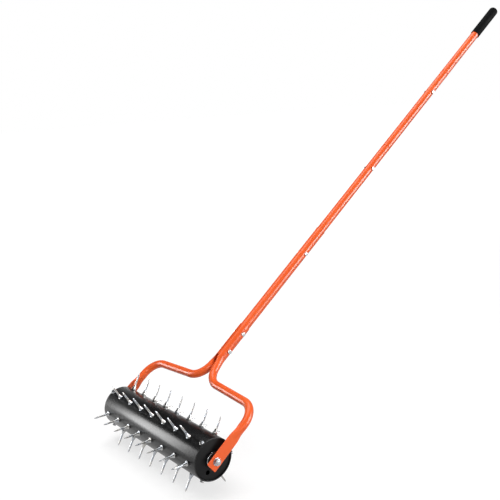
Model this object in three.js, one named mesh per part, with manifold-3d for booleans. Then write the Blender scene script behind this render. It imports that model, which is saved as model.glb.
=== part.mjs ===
// Rolling spike aerator: a spiked steel drum that turns on an axle between the arms of a tubular fork,
// with a four-section tubular handle and a rubber grip.
// Millimetres, +Z up, X along the drum's axle, the handle leaning away towards +Y.
// The origin lies on the ground at the middle of the footprint.
import * as THREE from "three";
import { mergeVertices } from "three/addons/utils/BufferGeometryUtils.js";
import Module from "manifold-3d";

const wasm = await Module();
wasm.setup();

// Gap between pieces that touch, and how far a cutter runs past what it cuts
const seatGap = 0.3;
const overrun = 2;

// Stance: how far the handle leans back from upright, as when the roller is pulled along
const handleLeanDegrees = 53;

// Drum shell
const drumLength = 457;
const drumRadius = 54;
const drumWall = 2.5;

// Spikes: six rows round the drum, long and short rows in turn, each row on a tapped bar inside the shell
const spikeRowCount = 6;
const longRowCount = 8;
const shortRowCount = 7;
const spikeEndInset = 28.65;
const spikeReach = 46.4;
const spikeCollarFlats = 12;
const spikeCollarHeight = 4.5;
const spikeConeRadius = 5.2;
const spikeConeHeight = 9;
const spikeShaftRadius = 2.8;
const spikePointRadius = 2.3;
const spikePointLength = 6;
const spikeEndRadius = 0.7;
const spikeShankRadius = 2.85;
const backingBarWidth = 16;
const backingBarThickness = 3.5;
const backingBarOverhang = 9;
const screwHoleClearance = 0.5;

// End caps: pressed cups inside the shell's ends, with a hub that holds a bearing
const capRecess = 3;
const capPlate = 2;
const capSkirtDepth = 14;
const capSkirtWall = 2.5;
const capEdgeChamfer = 1;
const capHubWall = 3.5;
const capHubRise = 6;
const capHubRim = 2.2;
const capHubLip = 2;
const capHubLipReach = 4;
const capHoleRadius = 5.9;
const capHoleOffset = 33;

// Cap screws: three hexagon flange screws through the shell into each cap's skirt
const capScrewCount = 3;
const capScrewInset = 7.5;
const capScrewTurnDegrees = -4;
const capScrewRadius = 2.4;
const capScrewFlangeRadius = 6.2;
const capScrewFlange = 1.2;
const capScrewFlats = 9;
const capScrewHead = 4;
const capScrewLength = 12;

// Ball bearings
const bearingRadius = 20;
const bearingBore = 8.5;
const bearingWidth = 12;
const bearingProud = 1;
const bearingRingWall = 3.2;
const bearingGroove = 1.35;
const bearingGrooveWidth = 3.6;
const bearingGrooveFlare = 1.4;
const ballRadius = 3.3;
const ballCount = 7;
const cageWall = 1.2;
const cageWidth = 3.6;
const shieldInset = 0.7;
const shieldThickness = 0.9;

// Axle and what is clamped on its ends
const axleStudRadius = 4.9;
const axleStudExtra = 1.6;
const axleShoulderRadius = 11;
const spacerRadius = 10;
const spacerLength = 6.8;
const axleWasherRadius = 10;
const axleWasherThickness = 1.6;
const axleNutFlats = 16;
const axleNutHeight = 5;

// Fork: two mirrored bent tubes, crushed round the handle at the top and flattened at the axle
const forkRadius = 11.1;
const forkWall = 1.1;
const forkLegHeight = 165.5;
const forkLegMark = 120;
const forkLegDroopDegrees = 3.6;
const forkNeckBend = 55;
const forkShoulderBend = 52;
const forkArmRoundEnd = 104;
const forkArmFlatStart = 62;
const forkArmFaceFoot = 16;
const forkArmTail = 20.6;
const forkArmCorner = 3;
const forkSaddleRise = 109;
const forkSaddleFootDrop = 1;
const forkSaddleWall = 1.4;
const forkSaddleFade = 34;
const forkSaddleHalfDegrees = 75;
const forkVentRadius = 2.5;

// Handle: four tubes, each upper one with a drawn-down spigot that stands in the one below
const handleRadius = 12.7;
const handleWall = 1.2;
const handleFootRadius = 13.6;
const handleFootRise = 24;
const handleSectionCount = 4;
const handleSectionLength = 477;
const handleFootExtra = 7;
const handleTopLength = 453;
const handleOverlap = 115;
const handleSwage = 5;
const handleMouthFlare = 0.5;
const handleMouthLength = 8;

// Bolts: two through the fork's saddles, above the handle's foot, and one through each handle joint
const lowerForkBoltRise = 22;
const upperForkBoltRise = 84.5;
const forkBoltRadius = 3.2;
const forkBoltFlats = 11;
const forkBoltHead = 4.4;
const forkNutHeight = 5.6;
const jointBoltDrop = 94;
const jointBoltRadius = 2.9;
const jointBoltFlats = 10;
const jointBoltHead = 4;
const jointNutHeight = 5;
const boltEndExtra = 2.5;

// Grip
const gripRadius = 14.9;
const gripLength = 138;
const gripEndWall = 7;
const gripEndRound = 9;
const gripRoundSteps = 3;

// How many flat sides stand for each round
const drumSides = 42;
const tubeSides = 18;
const pinSides = 8;
const ringSides = 18;
const hexSides = 6;
const holeSides = 6;
const ballSides = 5;
const forkHalfSides = 8;
const forkBendSteps = 6;
const forkFadeSteps = 5;

const degree = Math.PI / 180;
const quarter = Math.PI / 2;
const turn = Math.PI * 2;

// Finishes
const finish = (color, roughness, metalness) => new THREE.MeshStandardMaterial({ color, roughness, metalness });
const orangePaint = finish(0xef5f2e, 0.34, 0);
const blackPaint = finish(0x1b1b1d, 0.38, 0);
const brightZinc = finish(0xc8cbd0, 0.28, 1);
const bearingSteel = finish(0xb4b7bb, 0.22, 1);
const plainSteel = finish(0x8d9094, 0.4, 1);
const gripRubber = finish(0x17181a, 0.8, 0);
const shieldRubber = finish(0x1f1f20, 0.6, 0);

// Solids from geometry, and back
function solidOf(geometry) {
  const bare = geometry.clone();
  bare.deleteAttribute("normal");
  bare.deleteAttribute("uv");
  const merged = mergeVertices(bare);
  const mesh = new wasm.Mesh({
    numProp: 3,
    vertProperties: merged.attributes.position.array,
    triVerts: new Uint32Array(merged.index.array),
  });
  return new wasm.Manifold(mesh);
}

function geometryOf(solid) {
  const mesh = solid.getMesh();
  const geometry = new THREE.BufferGeometry();
  geometry.setAttribute("position", new THREE.BufferAttribute(mesh.vertProperties, mesh.numProp));
  geometry.setIndex(new THREE.BufferAttribute(mesh.triVerts, 1));
  geometry.computeVertexNormals();
  return geometry;
}

const joined = (solids) => solids.reduce((whole, solid) => whole.add(solid));

function piece(name, solid, material) {
  const mesh = new THREE.Mesh(geometryOf(solid), material);
  mesh.name = name;
  return mesh;
}

// A profile of [radius, place] pairs turned round the X axis, places running along X
function revolved(profile, sides) {
  const points = profile.map(([radius, place]) => new THREE.Vector2(radius, place));
  return new THREE.LatheGeometry(points, sides).rotateZ(-quarter);
}

// A ring or tube round the X axis
function ringAlongX(outer, inner, start, end, sides) {
  const profile = [
    [inner, start],
    [outer, start],
    [outer, end],
    [inner, end],
    [inner, start],
  ];
  return solidOf(revolved(profile, sides));
}

// A prism or rod round the X axis
function rodAlongX(radius, start, end, sides) {
  const length = end - start;
  const rod = new THREE.CylinderGeometry(radius, radius, length, sides);
  return solidOf(rod.rotateZ(-quarter).translate(start + length / 2, 0, 0));
}

// The same round the Z axis
function rodAlongZ(radius, start, end, sides) {
  const length = end - start;
  const rod = new THREE.CylinderGeometry(radius, radius, length, sides);
  return solidOf(rod.rotateX(quarter).translate(0, 0, start + length / 2));
}

const hexCorner = (flats) => flats / Math.sqrt(3);

// Places of the drum's parts, measured from its middle
const halfDrum = drumLength / 2;
const shellBore = drumRadius - drumWall;
const capFace = halfDrum - capRecess;
const hubFace = capFace + capHubRise;
const bearingFace = hubFace + bearingProud;
const bearingBack = bearingFace - bearingWidth;
const hubBore = bearingRadius + seatGap;
const rowStep = turn / spikeRowCount;
const spikePitch = (drumLength - spikeEndInset * 2) / (longRowCount - 1);

// Drum rows are counted from the one that points up the front, half a step from the top
const rowTurn = (row) => (row + 1 / 2) * rowStep;
const rowSpikes = (row) => (row % 2 ? longRowCount : shortRowCount);
const spikePlaces = (count) =>
  Array.from({ length: count }, (_, index) => (index - (count - 1) / 2) * spikePitch);

// Moves a solid built along +Z to a place on the drum, turned from the top towards the front
function placedOnDrum(geometry, place, angle) {
  return geometry.translate(place, 0, 0).rotateX(angle);
}

// One spike: shank, hexagon collar, cone, shaft and blunt point, standing on the shell along +Z
function spikeGeometry() {
  const foot = drumRadius + seatGap;
  const shankFoot = shellBore - backingBarThickness - seatGap;
  const coneFoot = foot + spikeCollarHeight;
  const coneTop = coneFoot + spikeConeHeight;
  const tip = drumRadius + spikeReach;
  const profile = [
    [0, shankFoot],
    [spikeShankRadius, shankFoot],
    [spikeShankRadius, foot],
    [hexCorner(spikeCollarFlats), foot],
    [hexCorner(spikeCollarFlats), coneFoot],
    [spikeConeRadius, coneFoot],
    [spikeShaftRadius, coneTop],
    [spikePointRadius, tip - spikePointLength],
    [spikeEndRadius, tip],
    [0, tip],
  ];
  const points = profile.map(([radius, height]) => new THREE.Vector2(radius, height));
  return new THREE.LatheGeometry(points, hexSides).rotateX(quarter);
}

// A row: its tapped bar lies inside the shell, and the shanks come up through the shell's holes
function spikeRow(row) {
  const places = spikePlaces(rowSpikes(row));
  const barTop = Math.sqrt((shellBore - seatGap) ** 2 - (backingBarWidth / 2) ** 2);
  const barLength = (places.length - 1) * spikePitch + backingBarOverhang * 2;
  const bar = new THREE.BoxGeometry(barLength, backingBarWidth, backingBarThickness);
  bar.translate(0, 0, barTop - backingBarThickness / 2);
  const solids = [solidOf(bar)];
  for (const place of places) {
    solids.push(solidOf(spikeGeometry().translate(place, 0, 0)));
  }
  return joined(solids);
}

// Cap screws lie near the short rows, one every third of a turn
const capScrewTurns = Array.from(
  { length: capScrewCount },
  (_, index) => rowTurn(0) + (index * turn) / capScrewCount + capScrewTurnDegrees * degree,
);

function drumShell() {
  const shell = ringAlongX(drumRadius, shellBore, -halfDrum, halfDrum, drumSides);
  const cutters = [];
  const hole = (radius, place, angle) => {
    const length = drumWall + overrun * 2;
    const cutter = new THREE.CylinderGeometry(radius, radius, length, holeSides).rotateX(quarter);
    cutter.translate(0, 0, drumRadius - drumWall / 2);
    cutters.push(solidOf(placedOnDrum(cutter, place, angle)));
  };
  for (let row = 0; row < spikeRowCount; row += 1) {
    for (const place of spikePlaces(rowSpikes(row))) {
      hole(spikeShankRadius + screwHoleClearance, place, rowTurn(row));
    }
  }
  for (const side of [-1, 1]) {
    for (const angle of capScrewTurns) {
      hole(capScrewRadius + screwHoleClearance, side * (halfDrum - capScrewInset), angle);
    }
  }
  return shell.subtract(joined(cutters));
}

// End cap, built for the +X end: plate, skirt and bearing hub in one pressing
function endCap() {
  const skirtRadius = shellBore - seatGap;
  const skirtBore = skirtRadius - capSkirtWall;
  const hubRadius = hubBore + capHubWall;
  const rimRadius = hubBore + capHubRim;
  const plateBack = capFace - capPlate;
  const hubSeat = bearingBack - seatGap;
  const hubBack = hubSeat - capHubLip;
  const skirtBack = capFace - capSkirtDepth;
  const profile = [
    [hubBore, hubFace],
    [hubBore, hubSeat],
    [hubBore - capHubLipReach, hubSeat],
    [hubBore - capHubLipReach, hubBack],
    [hubRadius, hubBack],
    [hubRadius, plateBack],
    [skirtBore, plateBack],
    [skirtBore, skirtBack],
    [skirtRadius, skirtBack],
    [skirtRadius, capFace - capEdgeChamfer],
    [skirtRadius - capEdgeChamfer, capFace],
    [rimRadius, capFace],
    [rimRadius, hubFace],
    [hubBore, hubFace],
  ];
  const cap = solidOf(revolved(profile, drumSides));
  const cutters = [];
  for (const angle of capScrewTurns) {
    const length = capSkirtWall + overrun * 2;
    const radius = capScrewRadius + screwHoleClearance;
    const cutter = new THREE.CylinderGeometry(radius, radius, length, holeSides).rotateX(quarter);
    cutter.translate(0, 0, skirtBore + capSkirtWall / 2);
    cutters.push(solidOf(placedOnDrum(cutter, halfDrum - capScrewInset, angle)));
  }
  // The round opening in the plate lies across from the long row at the top of the back
  const openingTurn = rowTurn(spikeRowCount / 2 - 1);
  const start = plateBack - overrun;
  const length = capPlate + overrun * 2;
  const opening = new THREE.CylinderGeometry(capHoleRadius, capHoleRadius, length, tubeSides);
  opening.rotateZ(-quarter).translate(start + length / 2, 0, capHoleOffset).rotateX(openingTurn);
  cutters.push(solidOf(opening));
  return cap.subtract(joined(cutters));
}

// A hexagon flange screw standing on the shell along +Z
function capScrew() {
  const foot = drumRadius + seatGap;
  const flangeTop = foot + capScrewFlange;
  const headTop = flangeTop + capScrewHead;
  const shank = rodAlongZ(capScrewRadius, foot - capScrewLength, flangeTop, holeSides);
  const flange = rodAlongZ(capScrewFlangeRadius, foot, flangeTop, tubeSides);
  const head = rodAlongZ(hexCorner(capScrewFlats), foot, headTop, hexSides);
  return joined([shank, flange, head]);
}

// Bearing, built for the +X end
const ballOrbit = (bearingRadius + bearingBore) / 2;
const outerRace = bearingRadius - bearingRingWall;
const innerRace = bearingBore + bearingRingWall;

function bearingRing(wallSide, race, grooveDirection) {
  const middle = (bearingFace + bearingBack) / 2;
  const deep = race + grooveDirection * bearingGroove;
  const half = bearingGrooveWidth / 2;
  const flare = half + bearingGrooveFlare;
  const profile = [
    [wallSide, bearingBack],
    [race, bearingBack],
    [race, middle - flare],
    [deep, middle - half],
    [deep, middle + half],
    [race, middle + flare],
    [race, bearingFace],
    [wallSide, bearingFace],
    [wallSide, bearingBack],
  ];
  const outward = grooveDirection > 0 ? profile.reverse() : profile;
  return solidOf(revolved(outward, ringSides));
}

function ballCage() {
  const middle = (bearingFace + bearingBack) / 2;
  const half = cageWidth / 2;
  const solids = [
    ringAlongX(ballOrbit + cageWall / 2, ballOrbit - cageWall / 2, middle - half, middle + half, ringSides),
  ];
  for (let index = 0; index < ballCount; index += 1) {
    const ball = new THREE.SphereGeometry(ballRadius, ballSides, ballSides - 1);
    ball.translate(middle, 0, ballOrbit).rotateX((index * turn) / ballCount);
    solids.push(solidOf(ball));
  }
  return joined(solids);
}

// The dark shield that closes the outer side of the bearing
function bearingShield() {
  const outerFace = bearingFace - shieldInset;
  const outer = outerRace - seatGap;
  return ringAlongX(outer, innerRace + seatGap, outerFace - shieldThickness, outerFace, ringSides);
}

// Places along the axle's end, from the bearing outwards
const spacerStart = bearingFace + seatGap;
const spacerEnd = spacerStart + spacerLength;
const paddleHalf = forkWall;
const paddleInner = spacerEnd + seatGap;
const forkArmOffset = paddleInner + paddleHalf;
const paddleOuter = forkArmOffset + paddleHalf;
const washerStart = paddleOuter + seatGap;
const axleNutStart = washerStart + axleWasherThickness + seatGap;
const axleNutEnd = axleNutStart + axleNutHeight;
const axleRadius = bearingBore - seatGap;
const axleShoulder = bearingBack - seatGap;
const studBore = axleStudRadius + seatGap;

function axle() {
  const stud = axleNutEnd + axleStudExtra;
  return joined([
    rodAlongX(axleShoulderRadius, -axleShoulder, axleShoulder, tubeSides),
    rodAlongX(axleRadius, -bearingFace, bearingFace, tubeSides),
    rodAlongX(axleStudRadius, -stud, stud, pinSides),
  ]);
}

function axleSpacer() {
  return ringAlongX(spacerRadius, studBore, spacerStart, spacerEnd, tubeSides);
}

function axleWasher() {
  return ringAlongX(axleWasherRadius, studBore, washerStart, washerStart + axleWasherThickness, tubeSides);
}

// A hexagon nut round the X axis
function nutAlongX(flats, bore, start, height) {
  const blank = rodAlongX(hexCorner(flats), start, start + height, hexSides);
  return blank.subtract(rodAlongX(bore, start - overrun, start + height + overrun, pinSides));
}

// Fork tube, built for the +X side as a loft of matched sections along the bent path.
// A section is a list of [outward, across] pairs about the path, the outer half first.
const saddleBore = handleFootRadius + seatGap;
const saddleRadius = saddleBore + forkSaddleWall;
const neckOffset = forkRadius + seatGap / 2;

function roundSection(radius) {
  const count = forkHalfSides * 2;
  return Array.from({ length: count }, (_, index) => {
    const angle = quarter - ((index + 1 / 2) * turn) / count;
    return [radius * Math.cos(angle), radius * Math.sin(angle)];
  });
}

function saddleSection() {
  const half = forkSaddleHalfDegrees * degree;
  const arc = (radius, direction) =>
    Array.from({ length: forkHalfSides }, (_, index) => {
      const angle = direction * half * (1 - (2 * index) / (forkHalfSides - 1));
      return [radius * Math.cos(angle) - neckOffset, radius * Math.sin(angle)];
    });
  return [...arc(saddleRadius, 1), ...arc(saddleBore, -1)];
}

// A tube pressed flat is half its own girth across
const paddleReach = (Math.PI * forkRadius) / 2;

function paddleSection() {
  const edge = (outward, direction) =>
    Array.from({ length: forkHalfSides }, (_, index) => [
      outward,
      direction * paddleReach * (1 - (2 * index) / (forkHalfSides - 1)),
    ]);
  return [...edge(paddleHalf, 1), ...edge(-paddleHalf, -1)];
}

function blended(first, second, share) {
  const eased = THREE.MathUtils.smoothstep(share, 0, 1);
  return first.map(([outward, across], index) => [
    THREE.MathUtils.lerp(outward, second[index][0], eased),
    THREE.MathUtils.lerp(across, second[index][1], eased),
  ]);
}

// Stations down the fork: place in the fork's plane, heading below level, and the section there
const droop = forkLegDroopDegrees * degree;
const bendSweep = quarter - droop;
const neckCentreAcross = neckOffset + forkNeckBend;
const neckEndAcross = neckCentreAcross - forkNeckBend * Math.sin(droop);
const legHeightAt = (across) => forkLegHeight - (across - forkLegMark) * Math.tan(droop);
const neckCentreHeight = legHeightAt(neckEndAcross) + forkNeckBend * Math.cos(droop);
const handleFoot = neckCentreHeight + handleFootRise;
const forkSaddleFoot = handleFoot - forkSaddleFootDrop;
const forkSaddleTop = handleFoot + forkSaddleRise;
const forkBoltHeights = [handleFoot + lowerForkBoltRise, handleFoot + upperForkBoltRise];
const shoulderCentreAcross = forkArmOffset - forkShoulderBend;
const shoulderStartAcross = shoulderCentreAcross + forkShoulderBend * Math.sin(droop);
const shoulderCentreHeight = legHeightAt(shoulderStartAcross) - forkShoulderBend * Math.cos(droop);

function neckStation(share) {
  const angle = Math.PI + share * bendSweep;
  return {
    across: neckCentreAcross + forkNeckBend * Math.cos(angle),
    height: neckCentreHeight + forkNeckBend * Math.sin(angle),
    heading: quarter - share * bendSweep,
  };
}

function shoulderStation(share) {
  const angle = quarter - droop - share * bendSweep;
  return {
    across: shoulderCentreAcross + forkShoulderBend * Math.cos(angle),
    height: shoulderCentreHeight + forkShoulderBend * Math.sin(angle),
    heading: droop + share * bendSweep,
  };
}

const shares = (steps) => Array.from({ length: steps + 1 }, (_, index) => index / steps);

function forkStations() {
  const tube = roundSection(forkRadius);
  const saddle = saddleSection();
  const paddle = paddleSection();
  const stations = [];
  const neckLine = (height, section) =>
    stations.push({ across: neckOffset, height, heading: quarter, section });
  const fadeShare = (height) => (forkSaddleFoot - height) / forkSaddleFade;
  neckLine(forkSaddleTop, saddle);
  for (const share of shares(forkFadeSteps - 2)) {
    const height = THREE.MathUtils.lerp(forkSaddleFoot, neckCentreHeight, share);
    if (share < 1) {
      neckLine(height, blended(saddle, tube, fadeShare(height)));
    }
  }
  for (const share of shares(forkBendSteps)) {
    const station = neckStation(share);
    stations.push({ ...station, section: blended(saddle, tube, fadeShare(station.height)) });
  }
  for (const share of shares(forkBendSteps)) {
    stations.push({ ...shoulderStation(share), section: tube });
  }
  const armLine = (height, section) =>
    stations.push({ across: forkArmOffset, height, heading: quarter, section });
  for (const share of shares(forkFadeSteps)) {
    const height = THREE.MathUtils.lerp(forkArmRoundEnd, forkArmFlatStart, share);
    armLine(height, blended(tube, paddle, share));
  }
  const corner = paddle.map(([outward, across]) => [
    outward,
    THREE.MathUtils.clamp(across, forkArmCorner - paddleReach, paddleReach - forkArmCorner),
  ]);
  // The flat above the washer stays clear, so it is a face of its own
  armLine(forkArmFaceFoot, paddle);
  armLine(forkArmCorner - forkArmTail, paddle);
  armLine(-forkArmTail, corner);
  return stations;
}

// A closed loft through stations whose sections have the same number of points
function lofted(stations) {
  const positions = [];
  const indices = [];
  const count = stations[0].section.length;
  for (const { across, height, heading, section } of stations) {
    for (const [outward, sideways] of section) {
      positions.push(across + outward * Math.sin(heading), sideways, height + outward * Math.cos(heading));
    }
  }
  for (let ring = 0; ring < stations.length - 1; ring += 1) {
    for (let index = 0; index < count; index += 1) {
      const next = (index + 1) % count;
      const here = ring * count;
      const there = here + count;
      indices.push(here + index, here + next, there + index);
      indices.push(here + next, there + next, there + index);
    }
  }
  const lastRing = (stations.length - 1) * count;
  for (let index = 0; index < count / 2 - 1; index += 1) {
    const mate = count - 1 - index;
    indices.push(index, mate, index + 1, index + 1, mate, mate - 1);
    const shifted = lastRing + index;
    indices.push(shifted, shifted + 1, lastRing + mate, shifted + 1, lastRing + mate - 1, lastRing + mate);
  }
  const geometry = new THREE.BufferGeometry();
  geometry.setAttribute("position", new THREE.Float32BufferAttribute(positions, 3));
  geometry.setIndex(indices);
  return geometry;
}

// The bore of the bent stretch, where the tube is still round, with a vent hidden in the neck
const boreStartShare = 1 / 6;
const ventShare = 1 / 4;

function forkBore() {
  const bore = roundSection(forkRadius - forkWall);
  const stations = [];
  for (const share of shares(forkBendSteps)) {
    if (share >= boreStartShare) {
      stations.push({ ...neckStation(share), section: bore });
    }
  }
  for (const share of shares(forkBendSteps)) {
    stations.push({ ...shoulderStation(share), section: bore });
  }
  const { across, height } = neckStation(ventShare);
  const vent = rodAlongX(forkVentRadius, 0, across, holeSides).translate([0, 0, height]);
  return solidOf(lofted(stations)).add(vent);
}

function forkTube() {
  const reach = saddleRadius + overrun;
  const cutters = [forkBore()];
  for (const height of forkBoltHeights) {
    const hole = rodAlongX(forkBoltRadius + screwHoleClearance, 0, reach, pinSides);
    cutters.push(hole.translate([0, 0, height]));
  }
  const studHole = axleStudRadius + screwHoleClearance;
  cutters.push(rodAlongX(studHole, paddleInner - overrun, paddleOuter + overrun, pinSides));
  return solidOf(lofted(forkStations())).subtract(joined(cutters));
}

// Handle tubes, heights measured from the axle along the handle
const sectionStep = handleSectionLength - handleOverlap;
const handleRim = (index) => handleFoot + handleFootExtra + handleSectionLength + index * sectionStep;
const sectionRadius = (index) => (index ? handleRadius : handleFootRadius);
const sectionBore = (index) => sectionRadius(index) - handleWall;
const handleTop = handleRim(handleSectionCount - 2) - handleOverlap + handleTopLength;

const revolvedUp = (profile, sides) => solidOf(revolved(profile, sides).rotateY(-quarter));

function handleSection(index) {
  const isFirst = index === 0;
  const isLast = index === handleSectionCount - 1;
  const foot = isFirst ? handleFoot : handleRim(index - 1);
  const top = isLast ? handleTop : handleRim(index);
  const radius = sectionRadius(index);
  const bore = sectionBore(index);
  const outer = [];
  const inner = [];
  if (isFirst) {
    outer.push([radius, foot]);
    inner.push([bore, foot]);
  } else {
    const spigotRadius = sectionBore(index - 1) - seatGap;
    const spigotBore = spigotRadius - handleWall;
    const tail = foot - handleOverlap;
    const shoulder = foot + seatGap;
    outer.push([spigotRadius, tail], [spigotRadius, shoulder], [radius, shoulder + handleSwage / 2]);
    inner.push([spigotBore, tail], [spigotBore, shoulder], [bore, shoulder + handleSwage]);
  }
  if (isLast) {
    outer.push([radius, top]);
    inner.push([bore, top]);
  } else {
    const flared = radius + handleMouthFlare;
    outer.push([radius, top - handleMouthLength], [flared, top - handleMouthLength / 2], [flared, top]);
    inner.push([bore, top]);
  }
  const profile = [...outer, ...inner.reverse()];
  const tube = revolvedUp([...profile, profile[0]], tubeSides);
  const reach = radius + overrun;
  const holes = [];
  const holeAt = (boltRadius, height) => {
    const hole = rodAlongX(boltRadius + screwHoleClearance, -reach, reach, pinSides);
    holes.push(hole.translate([0, 0, height]));
  };
  if (isFirst) {
    forkBoltHeights.forEach((height) => holeAt(forkBoltRadius, height));
  } else {
    holeAt(jointBoltRadius, handleRim(index - 1) - jointBoltDrop);
  }
  if (!isLast) {
    holeAt(jointBoltRadius, handleRim(index) - jointBoltDrop);
  }
  return tube.subtract(joined(holes));
}

// A hexagon bolt along X, its head on the +X side and its nut on the -X side
function throughBolt(radius, flats, head, nutHeight, bearing) {
  const end = -bearing - nutHeight - boltEndExtra;
  return joined([
    rodAlongX(hexCorner(flats), bearing, bearing + head, hexSides),
    rodAlongX(radius, end, bearing + head / 2, pinSides),
  ]);
}

function grip() {
  const bore = handleRadius + seatGap;
  const foot = handleTop + gripEndWall - gripLength;
  const top = handleTop + gripEndWall;
  const floor = handleTop + seatGap;
  const roundSteps = shares(gripRoundSteps).map((share) => {
    const angle = share * quarter;
    return [
      gripRadius - gripEndRound * (1 - Math.cos(angle)),
      top - gripEndRound * (1 - Math.sin(angle)),
    ];
  });
  const profile = [
    [0, foot],
    [gripRadius, foot],
    ...roundSteps,
    [0, top],
  ];
  const body = revolvedUp(profile, tubeSides);
  return body.subtract(rodAlongZ(bore, foot - overrun, floor, tubeSides));
}

// Mirror images across the drum's middle
const mirrored = (solid) => solid.mirror([1, 0, 0]);

function pair(group, name, solid, material) {
  group.add(piece("left_" + name, mirrored(solid), material));
  group.add(piece("right_" + name, solid, material));
}

// The drum and all that turns with it
function drumGroup() {
  const group = new THREE.Group();
  group.add(piece("drum_shell", drumShell(), blackPaint));
  pair(group, "end_cap", endCap(), blackPaint);
  pair(group, "bearing_outer_ring", bearingRing(bearingRadius, outerRace, 1), bearingSteel);
  pair(group, "bearing_ball_cage", ballCage(), bearingSteel);
  pair(group, "bearing_shield", bearingShield(), shieldRubber);
  for (let row = 0; row < spikeRowCount; row += 1) {
    const mesh = piece("spike_row_" + (row + 1), spikeRow(row), brightZinc);
    mesh.rotation.x = rowTurn(row);
    group.add(mesh);
  }
  for (const [side, name] of [[-1, "left"], [1, "right"]]) {
    capScrewTurns.forEach((angle, index) => {
      const mesh = piece(name + "_cap_screw_" + (index + 1), capScrew(), brightZinc);
      mesh.position.x = side * (halfDrum - capScrewInset);
      mesh.rotation.x = angle;
      group.add(mesh);
    });
  }
  return group;
}

// The fork, handle and axle, built with the handle along +Z
function frameGroup() {
  const group = new THREE.Group();
  group.add(piece("axle", axle(), plainSteel));
  pair(group, "bearing_inner_ring", bearingRing(bearingBore, innerRace, -1), bearingSteel);
  pair(group, "axle_spacer", axleSpacer(), plainSteel);
  pair(group, "fork_tube", forkTube(), orangePaint);
  pair(group, "axle_washer", axleWasher(), brightZinc);
  pair(group, "axle_nut", nutAlongX(axleNutFlats, studBore, axleNutStart, axleNutHeight), brightZinc);
  for (let index = 0; index < handleSectionCount; index += 1) {
    group.add(piece("handle_section_" + (index + 1), handleSection(index), orangePaint));
  }
  const bolts = [];
  forkBoltHeights.forEach((height, index) => {
    const name = ["lower_fork", "upper_fork"][index];
    const bearing = saddleRadius + seatGap;
    bolts.push([name, height, forkBoltRadius, forkBoltFlats, forkBoltHead, forkNutHeight, bearing]);
  });
  for (let index = 0; index < handleSectionCount - 1; index += 1) {
    const name = "handle_joint_" + (index + 1);
    const height = handleRim(index) - jointBoltDrop;
    const bearing = sectionRadius(index) + seatGap;
    bolts.push([name, height, jointBoltRadius, jointBoltFlats, jointBoltHead, jointNutHeight, bearing]);
  }
  for (const [name, height, radius, flats, head, nutHeight, bearing] of bolts) {
    const bolt = piece(name + "_bolt", throughBolt(radius, flats, head, nutHeight, bearing), brightZinc);
    const nutSolid = mirrored(nutAlongX(flats, radius + seatGap, bearing, nutHeight));
    const nut = piece(name + "_nut", nutSolid, brightZinc);
    bolt.position.z = height;
    nut.position.z = height;
    group.add(bolt, nut);
  }
  group.add(piece("hand_grip", grip(), gripRubber));
  group.rotation.x = -handleLeanDegrees * degree;
  return group;
}

// The whole tool, set down with its lowest spike points on the ground
const aerator = new THREE.Group();
const tool = new THREE.Group();
tool.add(drumGroup(), frameGroup());
aerator.add(tool);
aerator.updateMatrixWorld(true);
const extent = new THREE.Box3().setFromObject(tool, true);
const middle = extent.getCenter(new THREE.Vector3());
tool.position.set(-middle.x, -middle.y, -extent.min.z);

export default aerator;
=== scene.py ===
# %% [markdown]
# # Rolling spike aerator
# A black steel drum carries six rows of zinc-plated spikes. It turns on an axle between the arms of
# an orange tubular fork, and a four-piece tubular handle with a rubber grip rises from the fork.
# The CAD model gives every place and size. This lesson models each piece again with the detail that
# shows on the real one, and sets it down exactly where its CAD solid is.

# %% Load the CAD model
import math

import bmesh
import bpy
from mathutils import Matrix, Vector


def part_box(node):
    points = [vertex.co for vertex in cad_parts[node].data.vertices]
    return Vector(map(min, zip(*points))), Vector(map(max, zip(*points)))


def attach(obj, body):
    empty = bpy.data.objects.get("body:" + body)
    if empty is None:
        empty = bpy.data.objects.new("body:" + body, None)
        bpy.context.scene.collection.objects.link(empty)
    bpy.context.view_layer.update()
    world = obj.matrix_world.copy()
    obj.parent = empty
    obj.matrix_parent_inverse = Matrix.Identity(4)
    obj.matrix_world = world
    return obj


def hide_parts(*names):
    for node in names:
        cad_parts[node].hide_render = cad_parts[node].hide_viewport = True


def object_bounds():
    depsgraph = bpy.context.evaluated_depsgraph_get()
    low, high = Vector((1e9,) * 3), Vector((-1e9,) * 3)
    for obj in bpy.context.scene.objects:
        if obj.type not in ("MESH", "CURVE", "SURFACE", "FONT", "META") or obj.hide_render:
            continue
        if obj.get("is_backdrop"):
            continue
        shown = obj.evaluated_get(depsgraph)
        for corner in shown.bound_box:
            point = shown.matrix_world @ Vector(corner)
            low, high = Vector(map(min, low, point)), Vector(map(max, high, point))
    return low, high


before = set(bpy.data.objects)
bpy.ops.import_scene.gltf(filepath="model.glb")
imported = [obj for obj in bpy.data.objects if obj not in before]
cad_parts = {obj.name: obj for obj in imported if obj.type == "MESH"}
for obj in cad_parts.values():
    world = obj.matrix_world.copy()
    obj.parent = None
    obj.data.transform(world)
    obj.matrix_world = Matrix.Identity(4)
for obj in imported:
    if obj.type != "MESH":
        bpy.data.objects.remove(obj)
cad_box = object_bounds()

# %% [markdown]
# ## The bench
# A tool this long has parts of a few tenths of a millimetre, so the pieces are modelled on a bench
# where one unit is one millimetre. There the axle lies along X and the handle stands along Z. One
# matrix shrinks a finished piece to metres and leans it back with the handle. Another does the same
# for the drum, which doesn't lean. Both start from the axle's own CAD box.

# %% Bench and places
MM = 0.001
HANDLE_LEAN = math.radians(53)

axle_low, axle_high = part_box("axle")
axle_centre = (axle_low + axle_high) / 2
true_size = Matrix.Diagonal((MM, MM, MM, 1))
at_axle = Matrix.Translation(axle_centre) @ true_size
on_tool = Matrix.Translation(axle_centre) @ Matrix.Rotation(-HANDLE_LEAN, 4, "X") @ true_size
along_axle = Matrix.Rotation(math.pi / 2, 4, "Y")
other_side = Matrix.Diagonal((-1, 1, 1, 1))


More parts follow.
